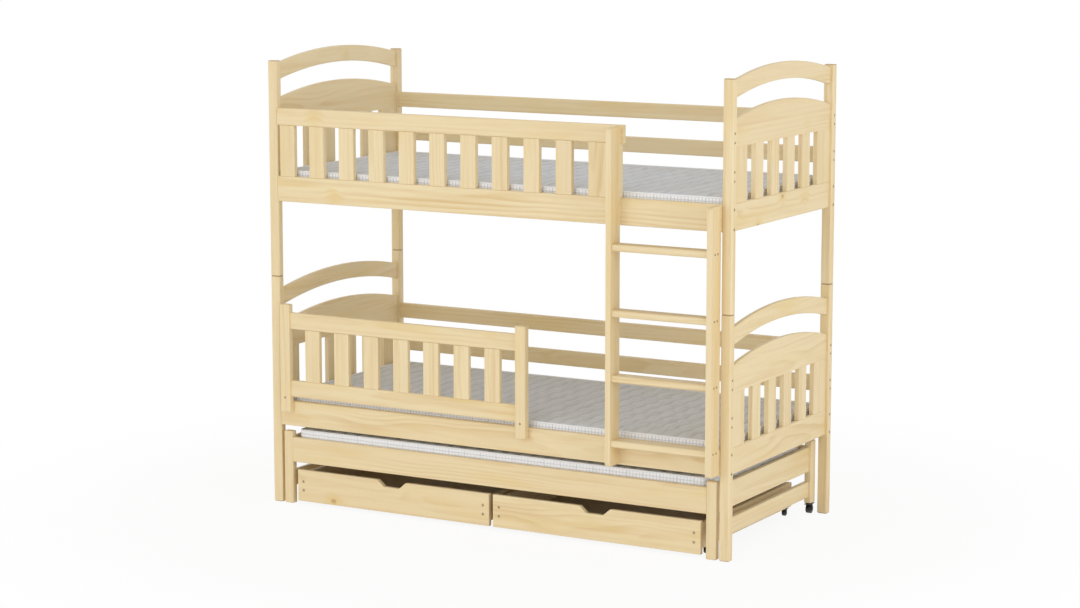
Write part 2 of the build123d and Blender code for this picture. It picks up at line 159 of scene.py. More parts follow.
def finish_material(material, colour, roughness, height=None, bump=0.1, depth=0.001, **sockets):
    tree = material.node_tree
    shader = add(tree, "ShaderNodeBsdfPrincipled")
    for key, value in (("Base Color", colour), ("Roughness", roughness), *sockets.items()):
        feed(tree, shader, key.replace("_", " "), value)
    if height is not None:
        relief = add(tree, "ShaderNodeBump", {"Strength": bump, "Distance": depth, "Height": height})
        tree.links.new(relief.outputs[0], shader.inputs["Normal"])
    add(tree, "ShaderNodeOutputMaterial", {"Surface": shader.outputs[0]})
    return material


# Board coordinates: every board gets a place along its own grain


def geometry_tree(name):
    tree = bpy.data.node_groups.new(name, "GeometryNodeTree")
    tree.interface.new_socket("Geometry", in_out="INPUT", socket_type="NodeSocketGeometry")
    tree.interface.new_socket("Geometry", in_out="OUTPUT", socket_type="NodeSocketGeometry")
    return tree, add(tree, "NodeGroupInput"), add(tree, "NodeGroupOutput")


def make_joining_tree():
    """Joins the faces of each solid along their edges, so that the edges can be eased."""
    tree, start, end = geometry_tree("join_faces")
    joined = add(tree, "GeometryNodeMergeByDistance", {"Geometry": start.outputs[0], "Distance": 0.00001})
    plain = add(tree, "GeometryNodeSetMeshNormal", {"Mesh": joined.outputs[0]}, mode="SHARPNESS")
    plain.inputs["Remove Custom"].default_value = True
    faces = add(tree, "GeometryNodeSetShadeSmooth", {"Geometry": plain.outputs[0]}, domain="FACE")
    edges = add(tree, "GeometryNodeSetShadeSmooth", {"Geometry": faces.outputs[0]}, domain="EDGE")
    tree.links.new(edges.outputs[0], end.inputs[0])
    return tree


def make_grain_tree():
    """Stores each board's places from its middle: along it, across it and through it."""
    tree, start, end = geometry_tree("board_places")
    tree.interface.new_socket("Seed", in_out="INPUT", socket_type="NodeSocketInt")
    island = add(tree, "GeometryNodeInputMeshIsland").outputs["Island Index"]
    place = add(tree, "GeometryNodeInputPosition").outputs[0]
    reach = add(
        tree,
        "GeometryNodeFieldMinAndMax",
        {"Value": place, "Group Index": island},
        data_type="FLOAT_VECTOR",
    )
    low, high = reach.outputs["Min"], reach.outputs["Max"]
    middle = scaled(tree, vec(tree, "ADD", low, high), (0.5, 0.5, 0.5))
    half = scaled(tree, vec(tree, "SUBTRACT", high, low), (0.5, 0.5, 0.5))
    local = vec(tree, "SUBTRACT", place, middle)

    def parts(vector):
        return add(tree, "ShaderNodeSeparateXYZ", {0: vector}).outputs[:3]

    def swapped(when, vector, order):
        own = parts(vector)
        other = add(tree, "ShaderNodeCombineXYZ", {i: own[k] for i, k in enumerate(order)}).outputs[0]
        node = add(tree, "GeometryNodeSwitch", {0: when}, input_type="VECTOR")
        tree.links.new(vector, node.inputs[1])
        tree.links.new(other, node.inputs[2])
        return node.outputs[0]

    def larger(i, k, vector):
        own = parts(vector)
        return add(tree, "FunctionNodeCompare", {0: own[i], 1: own[k]}, operation="GREATER_THAN").outputs[0]

    # Three comparisons put the largest extent first and the smallest last.
    for i, k, order in ((1, 0, (1, 0, 2)), (2, 0, (2, 1, 0)), (2, 1, (0, 2, 1))):
        when = larger(i, k, half)
        local = swapped(when, local, order)
        half = swapped(when, half, order)
    chance = add(tree, "FunctionNodeRandomValue", data_type="FLOAT_VECTOR")
    tree.links.new(island, chance.inputs["ID"])
    tree.links.new(start.outputs["Seed"], chance.inputs["Seed"])
    geometry = start.outputs[0]
    for name, value in (("grain_place", local), ("board_half", half), ("board_tone", chance.outputs[0])):
        store = add(
            tree,
            "GeometryNodeStoreNamedAttribute",
            {"Geometry": geometry, "Name": name},
            data_type="FLOAT_VECTOR",
        )
        tree.links.new(value, store.inputs["Value"])
        geometry = store.outputs[0]
    tree.links.new(geometry, end.inputs[0])
    return tree


joining_tree = make_joining_tree()
grain_tree = make_grain_tree()
seed_name = next(s.identifier for s in grain_tree.interface.items_tree if s.name == "Seed")


def ease_edges(node, width, seed):
    """Rounds a node's edges and stores the board places, as modifiers."""
    joined = node.modifiers.new("join_faces", "NODES")
    joined.node_group = joining_tree
    eased = node.modifiers.new("eased_edges", "BEVEL")
    eased.width = width
    eased.segments = 2
    eased.limit_method = "ANGLE"
    eased.angle_limit = math.radians(35)
    eased.use_clamp_overlap = True
    flat = node.modifiers.new("flat_faces", "WEIGHTED_NORMAL")
    flat.weight = 50
    places = node.modifiers.new("board_places", "NODES")
    places.node_group = grain_tree
    places[seed_name] = seed


# Materials


def attribute(tree, name, output="Vector"):
    return add(tree, "ShaderNodeAttribute", attribute_name=name).outputs[output]


def make_wood(name, pale, late, tint, warm, ring_width, figure, knots, gloss, rim_shade=0.0):
    """Softwood sawn from a trunk: growth rings about a pith that runs along each board."""
    material = new_material(name)
    tree = material.node_tree
    place = attribute(tree, "grain_place")
    half = attribute(tree, "board_half")
    tone = attribute(tree, "board_tone")
    tone_parts = add(tree, "ShaderNodeSeparateXYZ", {0: tone}).outputs
    shifted = vec(tree, "ADD", place, scaled(tree, tone, (9.0, 7.0, 5.0)))

    # Knots sit in a sparse cell pattern and push the rings round them.
    knot_place = scaled(tree, shifted, (5.0, 7.0, 9.0))
    cells = add(tree, "ShaderNodeTexVoronoi", {"Vector": knot_place, "Scale": 1.0})
    cell_chance = add(tree, "ShaderNodeSeparateColor", {0: cells.outputs["Color"]}).outputs[0]
    chosen = step_between(tree, cell_chance, 1.0 - knots, 1.0 - knots + 0.02)
    reach = cells.outputs["Distance"]
    knot_halo = calc(tree, "MULTIPLY", chosen, step_between(tree, reach, 0.32, 0.04))
    knot_core = calc(tree, "MULTIPLY", chosen, step_between(tree, reach, 0.085, 0.040))

    slow = noise_of(tree, scaled(tree, shifted, (1.1, 5.0, 5.0)), 1.0, 2.0)
    drift = calc(tree, "MULTIPLY", calc(tree, "SUBTRACT", slow, 0.5), 0.110)
    pith_y = calc(tree, "MULTIPLY_ADD", tone_parts[0], 0.12, -0.06)
    pith_z = calc(tree, "MULTIPLY_ADD", tone_parts[1], 0.05, 0.022)
    place_parts = add(tree, "ShaderNodeSeparateXYZ", {0: place}).outputs
    across = calc(tree, "ADD", calc(tree, "ADD", place_parts[1], pith_y), drift)
    through = calc(tree, "ADD", calc(tree, "ADD", place_parts[2], pith_z), drift)
    squares = calc(tree, "MULTIPLY_ADD", across, across, calc(tree, "MULTIPLY", through, through))
    radius = calc(tree, "SQRT", squares)
    wobble = noise_of(tree, scaled(tree, shifted, (7.0, 60.0, 60.0)), 1.0, 2.0)
    pushed = calc(tree, "MULTIPLY_ADD", knot_halo, 0.012, radius)
    pushed = calc(tree, "MULTIPLY_ADD", wobble, 0.0035, pushed)
    turn = calc(tree, "FRACT", calc(tree, "DIVIDE", pushed, ring_width))
    ring_up = step_between(tree, turn, 0.25, 0.86)
    ring_down = step_between(tree, turn, 1.0, 0.88)
    ring = calc(tree, "MULTIPLY", ring_up, ring_down)
    ring_strength = noise_of(tree, scaled(tree, shifted, (0.9, 16.0, 16.0)), 1.0, 2.0)
    ring = calc(tree, "MULTIPLY", ring, step_between(tree, ring_strength, 0.34, 0.74))

    fibre = noise_of(tree, scaled(tree, shifted, (10.0, 420.0, 420.0)), 1.0, 3.0, 0.6)
    band = noise_of(tree, scaled(tree, shifted, (1.6, 34.0, 34.0)), 1.0, 2.0, 0.6)
    pore = noise_of(tree, scaled(tree, shifted, (60.0, 1500.0, 1500.0)), 1.0, 1.0)

    amount = calc(tree, "MULTIPLY", ring, figure)
    amount = calc(tree, "MULTIPLY_ADD", step_between(tree, band, 0.42, 0.72), figure * 0.62, amount)
    amount = calc(tree, "MULTIPLY_ADD", step_between(tree, fibre, 0.45, 0.75), figure * 0.30, amount)
    amount = calc(tree, "MULTIPLY_ADD", step_between(tree, pore, 0.60, 0.80), figure * 0.12, amount)
    colour = blend(tree, clamp01(tree, amount), (*pale, 1), (*late, 1))
    colour = blend(tree, calc(tree, "MULTIPLY", tone_parts[2], 0.34), colour, (*tint, 1))
    cloud = noise_of(tree, scaled(tree, shifted, (2.2, 13.0, 13.0)), 1.0, 2.0)
    cloud = calc(tree, "MULTIPLY", step_between(tree, cloud, 0.50, 0.72), 0.40)
    colour = blend(tree, cloud, colour, (*warm, 1))
    colour = blend(tree, calc(tree, "MULTIPLY", knot_halo, 0.42), colour, (0.76, 0.52, 0.150, 1))
    colour = blend(tree, calc(tree, "MULTIPLY", knot_core, 0.55), colour, (0.40, 0.205, 0.07, 1))

    # Edges are painted a little paler than the faces between them: a painted highlight along the eased
    # edges.
    rest = add(tree, "ShaderNodeVectorMath", {0: half}, operation="SUBTRACT")
    tree.links.new(vec(tree, "ABSOLUTE", place), rest.inputs[1])
    rest_parts = add(tree, "ShaderNodeSeparateXYZ", {0: rest.outputs[0]}).outputs
    nearest = calc(tree, "MINIMUM", rest_parts[1], rest_parts[2])
    second = calc(tree, "MAXIMUM", rest_parts[1], rest_parts[2])
    edge = step_between(tree, calc(tree, "ADD", nearest, second), 0.0035, 0.0008)
    edge = calc(tree, "MULTIPLY", edge, step_between(tree, band, 0.30, 0.62))
    edge_highlight = tuple(min(1.0, c * 1.05 + 0.02) for c in pale)
    colour = blend(tree, calc(tree, "MULTIPLY", edge, 0.45), colour, (*edge_highlight, 1))

    # End grain drinks more lacquer and shows darker. The eased rim round it gets painted shade, a dark line
    # along the chamfer.
    end_grain = step_between(tree, rest_parts[0], 0.0026, 0.0016)
    end_face = step_between(tree, rest_parts[0], 0.0005, 0.0002)
    rim = calc(tree, "MULTIPLY", end_grain, calc(tree, "SUBTRACT", 1.0, end_face))
    colour = blend(tree, calc(tree, "MULTIPLY", end_face, 0.12), colour, (*late, 1))
    # Painted shade on the eased rim round the end grain.
    colour = blend(tree, calc(tree, "MULTIPLY", rim, rim_shade), colour, (0.30, 0.18, 0.07, 1))

    rough = calc(tree, "MULTIPLY_ADD", fibre, 0.14, gloss)
    rough = calc(tree, "MULTIPLY_ADD", end_grain, 0.15, rough)
    rough = calc(tree, "MULTIPLY_ADD", edge, 0.06, rough)
    height = calc(tree, "MULTIPLY_ADD", ring, -0.5, fibre)
    height = calc(tree, "MULTIPLY_ADD", pore, -0.4, height)
    return finish_material(
        material, colour, rough, height, bump=0.16, depth=0.0006, Specular_IOR_Level=0.32
    )


pine_look = dict(
    pale=(0.860, 0.716, 0.450),
    late=(0.690, 0.470, 0.205),
    tint=(0.800, 0.635, 0.385),
    warm=(0.790, 0.590, 0.245),
    ring_width=0.0150,
    figure=0.50,
    knots=0.20,
    gloss=0.40,
)
pine = make_wood("pine_lacquered", **pine_look)
# The posts' pine adds painted shade on the eased rim round their end grain.
post_pine = make_wood("pine_posts", **pine_look, rim_shade=0.85)
plywood = make_wood(
    "plywood_plain",
    pale=(0.730, 0.580, 0.365),
    late=(0.600, 0.420, 0.220),
    tint=(0.690, 0.520, 0.310),
    warm=(0.660, 0.490, 0.270),
    ring_width=0.015,
    figure=0.36,
    knots=0.05,
    gloss=0.52,
)
beech = make_wood(
    "beech_turned",
    pale=(0.640, 0.460, 0.270),
    late=(0.520, 0.340, 0.180),
    tint=(0.600, 0.420, 0.240),
    warm=(0.580, 0.400, 0.210),
    ring_width=0.004,
    figure=0.40,
    knots=0.0,
    gloss=0.55,
)


def object_place(tree):
    return add(tree, "ShaderNodeTexCoord").outputs["Object"]


def make_plastic():
    """Moulded black nylon: fine sparks of texture and a scuffed tread."""
    material = new_material("caster_nylon")
    tree = material.node_tree
    place = object_place(tree)
    speck = noise_of(tree, place, 1400.0, 2.0)
    scuff = noise_of(tree, place, 160.0, 3.0)
    worn = calc(tree, "MULTIPLY", step_between(tree, scuff, 0.50, 0.75), 0.45)
    colour = blend(tree, worn, (0.012, 0.012, 0.013, 1), (0.045, 0.044, 0.042, 1))
    rough = calc(tree, "MULTIPLY_ADD", scuff, 0.25, 0.30)
    return finish_material(material, colour, rough, speck, bump=0.15, depth=0.0003)


def make_painted_metal():
    """Black powder coat with a light orange-peel skin."""
    material = new_material("fork_powder_coat")
    tree = material.node_tree
    place = object_place(tree)
    peel = noise_of(tree, place, 700.0, 2.0)
    cloud = noise_of(tree, place, 90.0, 2.0)
    colour = blend(tree, cloud, (0.014, 0.014, 0.015, 1), (0.036, 0.036, 0.038, 1))
    rough = calc(tree, "MULTIPLY_ADD", peel, 0.20, 0.32)
    return finish_material(material, colour, rough, peel, bump=0.20, depth=0.0003, Coat_Weight=0.15)


def make_steel():
    """Yellow-passivated zinc with fine turned marks and dull patches."""
    material = new_material("zinc_passivated")
    tree = material.node_tree
    place = object_place(tree)
    marks = noise_of(tree, scaled(tree, place, (900.0, 900.0, 900.0)), 1.0, 2.0)
    patch = noise_of(tree, place, 240.0, 2.0)
    dull = step_between(tree, patch, 0.35, 0.70)
    colour = blend(tree, dull, (0.50, 0.38, 0.23, 1), (0.33, 0.24, 0.14, 1))
    rough = calc(tree, "MULTIPLY_ADD", patch, 0.22, 0.26)
    return finish_material(material, colour, rough, marks, bump=0.12, depth=0.0002, Metallic=0.85)


def make_knit(name, pale, shade, painted_groove_shade, marks):
    """Mattress cover knit: fine ribs, slack wavy marks, and painted shade darkening the sewn grooves."""
    material = new_material(name)
    tree = material.node_tree
    place = object_place(tree)
    sewn = attribute(tree, "sewn", "Fac")
    warp = noise_of(tree, scaled(tree, place, (9.0, 5.0, 9.0)), 1.0, 2.0)
    bent = add(tree, "ShaderNodeCombineXYZ", {0: calc(tree, "MULTIPLY", warp, 0.05)}).outputs[0]
    streak_place = scaled(tree, vec(tree, "ADD", place, bent), (95.0, 11.0, 60.0))
    streak = noise_of(tree, streak_place, 1.0, 3.0, 0.6)
    ribs = {"Vector": place, "Scale": 190.0, "Distortion": 1.6, "Detail": 1.0}
    rib = add(tree, "ShaderNodeTexWave", ribs).outputs[1]
    loops = noise_of(tree, place, 900.0, 2.0)
    amount = calc(tree, "MULTIPLY", step_between(tree, streak, 0.44, 0.70), marks)
    amount = calc(tree, "MULTIPLY_ADD", rib, marks * 0.35, amount)
    colour = blend(tree, clamp01(tree, amount), (*pale, 1), (*shade, 1))
    # Painted shade: the sewn attribute darkens the grooves towards the shade colour.
    colour = blend(tree, clamp01(tree, sewn), colour, (*painted_groove_shade, 1))
    rough = calc(tree, "MULTIPLY_ADD", loops, 0.12, 0.82)
    height = calc(tree, "MULTIPLY_ADD", rib, 0.6, loops)
    height = calc(tree, "MULTIPLY_ADD", streak, 0.8, height)
    return finish_material(
        material,
        colour,
        rough,
        height,
        bump=0.35,
        depth=0.0008,
        Sheen_Weight=0.25,
        Specular_IOR_Level=0.2,
    )


cover_top = make_knit(
    "mattress_knit", (0.755, 0.780, 0.815), (0.560, 0.580, 0.610), (0.47, 0.490, 0.52), 0.62
)
cover_side = make_knit(
    "mattress_border_knit", (0.955, 0.970, 1.0), (0.89, 0.91, 0.95), (0.44, 0.475, 0.545), 0.22
)
cover_piping = make_knit(
    "mattress_piping_cloth", (0.90, 0.915, 0.945), (0.83, 0.845, 0.875), (0.66, 0.675, 0.71), 0.28
)
nylon = make_plastic()
powder_coat = make_painted_metal()
zinc = make_steel()


# The frame's own nodes


def dress(node, material):
    """Gives a CAD node a material through its object's own slot."""
    if not node.data.materials:
        return
    for slot in node.material_slots:
        slot.link = "OBJECT"
        slot.material = material


edge_by_name = {
    "_slats": 0.0008,
    "_posts": 0.0014,
    "_rail": 0.0009,
    "_rails": 0.0009,
    "_board": 0.0009,
    "_boards": 0.0009,
    "_stiles": 0.0022,
    "_ledgers": 0.0022,
    "_stretchers": 0.0022,
}
slot_of = {p["node"]: p["material_slot"] for p in frame["record"]["subparts"]}
finish_of = {
    "pine": pine,
    "plywood": plywood,
    "beech_pin": beech,
    "caster_fork": powder_coat,
    "caster_wheel": nylon,
    "mattress_cover": cover_top,
}
edge_of = {"plywood": 0.0003, "beech_pin": 0.0008, "caster_fork": 0.0004, "caster_wheel": 0.0005}
for number, (name, node) in enumerate(sorted(nodes.items())):
    kind = slot_of[name]
    dress(node, post_pine if name.endswith("_posts") else finish_of[kind])
    if kind == "mattress_cover":
        continue
    by_name = next((w for ending, w in edge_by_name.items() if name.endswith(ending)), 0.0012)
    ease_edges(node, edge_of.get(kind, by_name), number * 7 + 3)


# Mattresses


def object_from(name, verts, faces, material, smooth=True):
    mesh = bpy.data.meshes.new(name)
    mesh.from_pydata([tuple(v) for v in verts], [], faces)
    mesh.update()
    if smooth:
        mesh.polygons.foreach_set("use_smooth", [True] * len(mesh.polygons))
    mesh.materials.append(material)
    made = bpy.data.objects.new(name, mesh)
    bpy.context.scene.collection.objects.link(made)
    return made


def edge_steps(length, pitch, near=0.004):
    """Grid lines from 0 to length: close together at both ends, about one pitch apart between."""
    margin = near * edge_rows
    count = max(2, round((length - 2 * margin) / pitch))
    inner = np.linspace(margin, length - margin, count + 1)
    start = np.arange(edge_rows) * near
    return np.concatenate([start, inner, length - start[::-1]])


def cushion_grid(width, depth, height, radius):
    """Vertices, faces and sewn rows of a closed rounded box, its corner at the origin."""
    xs = edge_steps(width, quilt_pitch / quilt_columns)
    ys = edge_steps(depth, 0.0175)
    zs = edge_steps(height, 0.012)
    index = {}
    verts = []
    faces = []

    def vertex(i, j, k):
        key = (i, j, k)
        if key not in index:
            index[key] = len(verts)
            verts.append((xs[i], ys[j], zs[k]))
        return index[key]

    def face(*corners):
        faces.append(tuple(vertex(*corner) for corner in corners))

    nx, ny, nz = len(xs) - 1, len(ys) - 1, len(zs) - 1
    for i in range(nx):
        for j in range(ny):
            face((i, j, nz), (i + 1, j, nz), (i + 1, j + 1, nz), (i, j + 1, nz))
            face((i, j, 0), (i, j + 1, 0), (i + 1, j + 1, 0), (i + 1, j, 0))
    for k in range(nz):
        for i in range(nx):
            face((i, 0, k), (i + 1, 0, k), (i + 1, 0, k + 1), (i, 0, k + 1))
            face((i, ny, k), (i, ny, k + 1), (i + 1, ny, k + 1), (i + 1, ny, k))
        for j in range(ny):
            face((0, j, k), (0, j, k + 1), (0, j + 1, k + 1), (0, j + 1, k))
            face((nx, j, k), (nx, j + 1, k), (nx, j + 1, k + 1), (nx, j, k + 1))
    points = np.array(verts)
    size = np.array((width, depth, height))
    inside = np.clip(points, radius, size - radius)
    away = points - inside
    length = np.linalg.norm(away, axis=1, keepdims=True)
    rounded = inside + away / np.maximum(length, 1e-9) * np.minimum(length, radius)
    points = np.where(length > 0, rounded, points)
    columns = np.array([key[0] for key in index])
    level = np.array([key[2] for key in index])
    sewn = (columns - edge_rows) % quilt_columns == 0
    sewn &= (columns >= edge_rows) & (columns <= nx - edge_rows)
    flat = (level == nz) | (level == 0)
    # The seams across the mattress wander from side to side, straight where they meet the border.
    inset = np.minimum(points[:, 1], depth - points[:, 1])
    ends = np.minimum(points[:, 0], width - points[:, 0])
    ease = np.clip(inset / 0.08, 0, 1) * np.clip(ends / 0.08, 0, 1)
    wander = quilt_wave * np.sin(points[:, 1] * 2 * math.pi / quilt_wave_length) * ease
    points[:, 0] += np.where(flat, wander, 0)
    return points, faces, sewn & flat, flat, inset, ends


def puffed(points, faces, sewn, flat, inset, ends):
    """How far air pressure lifts each vertex between the seams, found by a short cloth run."""
    made = object_from("cloth_run", points, faces, cover_top)
    group = made.vertex_groups.new(name="sewn")
    border = flat & ((inset < 0.012) | (ends < 0.012))
    held = np.nonzero(sewn | border | ~flat)[0]
    group.add([int(i) for i in held], 1.0, "REPLACE")
    cloth = made.modifiers.new("cloth", "CLOTH")
    settings = cloth.settings
    settings.quality = 5
    settings.mass = 0.2
    settings.tension_stiffness = 5
    settings.compression_stiffness = 5
    settings.bending_stiffness = 0.1
    settings.use_pressure = True
    settings.uniform_pressure_force = 12
    settings.effector_weights.gravity = 0
    settings.vertex_group_mass = "sewn"
    cloth.collision_settings.use_collision = False
    cloth.point_cache.frame_start = 1
    cloth.point_cache.frame_end = 20
    for number in range(1, cloth_frames + 1):
        bpy.context.scene.frame_set(number)
    graph = bpy.context.evaluated_depsgraph_get()
    result = made.evaluated_get(graph).data
    moved = np.zeros(len(points) * 3)
    result.vertices.foreach_get("co", moved)
    lift = moved.reshape(-1, 3) - points
    bpy.data.objects.remove(made)
    bpy.context.scene.frame_set(1)
    reach = np.linalg.norm(lift, axis=1, keepdims=True)
    return lift * np.minimum(1, quilt_puff / np.maximum(reach, 1e-9))


def ring_path(low, high, radius, spacing):
    """Points and outward directions round a rectangle with rounded corners, evenly spaced."""
    centres = (
        (high[0] - radius, low[1] + radius, -90),
        (high[0] - radius, high[1] - radius, 0),
        (low[0] + radius, high[1] - radius, 90),
        (low[0] + radius, low[1] + radius, 180),
    )
    path = []
    for cx, cy, start in centres:
        for turn in range(0, 91, 6):
            angle = math.radians(start + turn)
            ax, ay = math.cos(angle), math.sin(angle)
            path.append((cx + radius * ax, cy + radius * ay, ax, ay))
    path.append(path[0])
    path = np.array(path)
    steps = np.hypot(*np.diff(path[:, :2], axis=0).T)
    along = np.concatenate([[0], np.cumsum(steps)])
    total = along[-1]
    count = int(round(total / spacing))
    where = np.arange(count) * total / count
    result = np.stack([np.interp(where, along, path[:, c]) for c in range(4)], axis=1)
    result[:, 2:] /= np.linalg.norm(result[:, 2:], axis=1, keepdims=True)
    return result, where, total


def loop_faces(count, rows):
    faces = []
    for row in range(rows - 1):
        for i in range(count):
            nxt = (i + 1) % count
            near, far = row * count, (row + 1) * count
            faces.append((near + i, near + nxt, far + nxt, far + i))
    return faces


# Stores the painted shade for the knit: how far each vertex is darkened in the grooves.
def store_painted_shade(made, values):
    made.data.attributes.new("sewn", "FLOAT", "POINT").data.foreach_set("value", values)


def border_band(name, low, high, radius):
    """The sewn border: a band of small square pads round the mattress, its edges folded in."""
    bottom, top = low[2] + 0.0075, high[2] - 0.0075
    cells = max(1, round((top - bottom) / side_cell))
    rows = cells * rows_per_cell + 1
    path, where, total = ring_path(low, high, radius, side_cell / 4)
    columns = round(total / side_cell)
    count = len(path)
    across = np.abs(np.sin(where * columns * math.pi / total))
    panel = np.abs(np.sin(where * columns * math.pi / total / 5))
    verts = []
    sewn = []
    for row in range(rows):
        part = row / (rows - 1)
        up = abs(math.sin(part * cells * math.pi))
        pad = np.sqrt(np.clip(across * up, 0, 1))
        out = side_cell_depth * (pad - 1) + 0.0012 * math.sin(math.pi * part) - 0.0012
        out = out - 0.0006 * np.exp(-((panel / 0.10) ** 2))
        z = bottom + (top - bottom) * part
        for i in range(count):
            verts.append((path[i, 0] + path[i, 2] * out[i], path[i, 1] + path[i, 3] * out[i], z))
        # Painted shade in the channels between the pads and along the panel seams.
        shade = np.clip(1.0 - pad * 1.6, 0, 1) * 0.50 + np.exp(-((panel / 0.09) ** 2)) * 0.20
        sewn.extend(np.clip(shade, 0, 1))
    # One more row at each edge turns inwards under the piping, where it gets painted shade.
    first = [(p[0] - p[2] * 0.006, p[1] - p[3] * 0.006, bottom - 0.002) for p in path]
    last = [(p[0] - p[2] * 0.006, p[1] - p[3] * 0.006, top + 0.002) for p in path]
    verts = first + verts + last
    sewn = [0.5] * count + list(sewn) + [0.5] * count
    made = object_from(name, verts, loop_faces(count, rows + 2), cover_side)
    store_painted_shade(made, sewn)
    return made


def piping(name, low, high, radius):
    """The taped edges: a corded roll sewn round the top and the bottom of the border."""
    verts = []
    faces = []
    sewn = []
    sides = 8
    for height in (high[2] - 0.0062, low[2] + 0.0062):
        path, where, total = ring_path(low, high, radius, 0.006)
        count = len(path)
        stitches = round(total / stitch_spacing)
        swell = 1 + 0.08 * np.sin(where * stitches * 2 * math.pi / total)
        base = len(verts)
        for side in range(sides):
            angle = 2 * math.pi * side / sides
            for i in range(count):
                x, y, dx, dy = path[i]
                r = piping_radius * swell[i]
                out = r * math.cos(angle) - piping_radius * 1.08
                verts.append((x + dx * out, y + dy * out, height + r * math.sin(angle)))
                # The pinches between the swells get painted shade.
                sewn.append(0.25 if swell[i] < 0.96 else 0.0)
        for side in range(sides):
            near = base + side * count
            far = base + (side + 1) % sides * count
            for i in range(count):
                nxt = (i + 1) % count
                faces.append((far + i, far + nxt, near + nxt, near + i))
    made = object_from(name, verts, faces, cover_piping)
    store_painted_shade(made, sewn)
    return made


puff_cache = {}


def make_mattress(node_name, body):
    low, high = (np.array(c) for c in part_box(node_name))
    inset = np.array((cover_side_gap, cover_side_gap, 0.0))
    size = high - low - 2 * inset
    grid = cushion_grid(size[0], size[1], size[2] - cover_top_gap, cover_edge_radius)
    points, faces, sewn, flat, near_side, near_end = grid
    key = tuple(round(float(s), 4) for s in size)
    if key not in puff_cache:
        puff_cache[key] = puffed(points, faces, sewn, flat, near_side, near_end)
    lifted = points + puff_cache[key]
    top = flat & (points[:, 2] > size[2] / 2)
    # The middle stands a little higher than the edges, and the underside lies flat on the slats.
    reach_in = np.clip(np.minimum(near_side, near_end) / 0.05, 0, 1)
    crown = crown_height * reach_in * reach_in * (3 - 2 * reach_in)
    lifted[:, 2] = np.where(top, lifted[:, 2] + crown - seam_dip * sewn, lifted[:, 2])
    lifted[:, 2] = np.clip(lifted[:, 2], 0.0, size[2])
    cover = object_from(node_name + "_cover", lifted + low + inset, faces, cover_top)
    # The quilting seams get painted shade in their dips.
    store_painted_shade(cover, np.where(sewn, 0.45, 0.0))
    finer = cover.modifiers.new("finer", "SUBSURF")
    finer.levels = 1
    finer.render_levels = 1
    graph = bpy.context.evaluated_depsgraph_get()
    smooth_mesh = bpy.data.meshes.new_from_object(cover.evaluated_get(graph))
    cover.modifiers.clear()
    cover.data = smooth_mesh
    band = border_band(node_name + "_border", low, high, mattress_corner_radius)
    roll = piping(node_name + "_piping", low, high, mattress_corner_radius)
    for piece in (cover, band, roll):
        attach(piece, body)
    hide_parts(node_name)
    return cover


make_mattress("upper_mattress", "frame")
make_mattress("lower_mattress", "frame")
make_mattress("trundle_mattress", "trundle")


# Small fasteners


def screw_mesh(bm, place, facing, radius):
    """A low domed head with a socket: rings from the rim to the socket's floor."""
    rings = (
        (radius, -0.0004),
        (radius, 0.0002),
        (radius * 0.86, radius * 0.16),
        (radius * 0.62, radius * 0.26),
        (radius * 0.46, radius * 0.28),
        (radius * 0.42, radius * 0.02),
    )
    turn = Vector(facing).to_track_quat("Z", "Y").to_matrix()
    half_side = math.pi / socket_sides
    loops = []
    for number, (r, lift) in enumerate(rings):
        loop = []
        for i in range(head_points):
            angle = 2 * math.pi * i / head_points
            reach = r
            if number >= socket_ring:
                part = (angle % (2 * half_side)) - half_side
                reach = r * math.cos(half_side) / math.cos(part)
            local = Vector((reach * math.cos(angle), reach * math.sin(angle), lift))
            loop.append(bm.verts.new(Vector(place) + turn @ local))
        loops.append(loop)
    for number, (outer, inner) in enumerate(zip(loops, loops[1:])):
        for i in range(head_points):
            nxt = (i + 1) % head_points
            face = bm.faces.new((outer[i], outer[nxt], inner[nxt], inner[i]))
            face.smooth = number < smooth_rings
    bm.faces.new(loops[-1])
    bm.faces.new(loops[0][::-1])


def make_screws(name, body, rows):
    """One object for a group of screws. Each row is a place, a facing and a head radius."""
    bm = bmesh.new()
    for place, facing, radius in rows:
        screw_mesh(bm, place, facing, radius)
    mesh = bpy.data.meshes.new(name)
    bm.to_mesh(mesh)
    bm.free()
    mesh.materials.append(zinc)
    made = bpy.data.objects.new(name, mesh)
    bpy.context.scene.collection.objects.link(made)
    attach(made, body)
    return made


def post_screws(level):
    """Bolts of the side rails and screws of the back boards, on the posts' outer faces."""
    rows = []
    rail_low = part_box(level + "_front_side_rail")[0][2]
    for side, sign in (("left", -1), ("right", 1)):
        low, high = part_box(f"{level}_{side}_posts")
        face = low[0] if sign < 0 else high[0]
        for y in (low[1] + post_edge_distance, high[1] - post_edge_distance):
            for rise in bolt_rises:
                rows.append(((face, y, rail_low + rise), (sign, 0, 0), bolt_head_radius))
            for rise in board_screw_rises:
                rows.append(((face, y, rail_low + rise), (sign, 0, 0), board_screw_radius))
    return rows


make_screws("upper_post_screws", "frame", post_screws("upper"))
make_screws("lower_post_screws", "frame", post_screws("lower"))

tread_low, tread_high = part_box("ladder_treads")
stile_low, stile_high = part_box("ladder_stiles")
ladder_rows = []
for number in range(4):
    height = first_tread_top + tread_pitch * number - tread_half_thickness
    for face, sign in ((stile_low[0], -1), (stile_high[0], 1)):
        for y in (tread_low[1] + 0.017, tread_high[1] - 0.020):
            ladder_rows.append(((face, y, height), (sign, 0, 0), small_screw_radius))
make_screws("ladder_screws", "frame", ladder_rows)

guard_low, guard_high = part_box("lower_guard_uprights")
half_upright = 0.0225
guard_rows = []
for x in (guard_low[0] + half_upright, guard_high[0] - half_upright):
    guard_rows.append(((x, guard_low[1], 0.425), (0, -1, 0), small_screw_radius))
make_screws("lower_guard_screws", "frame", guard_rows)

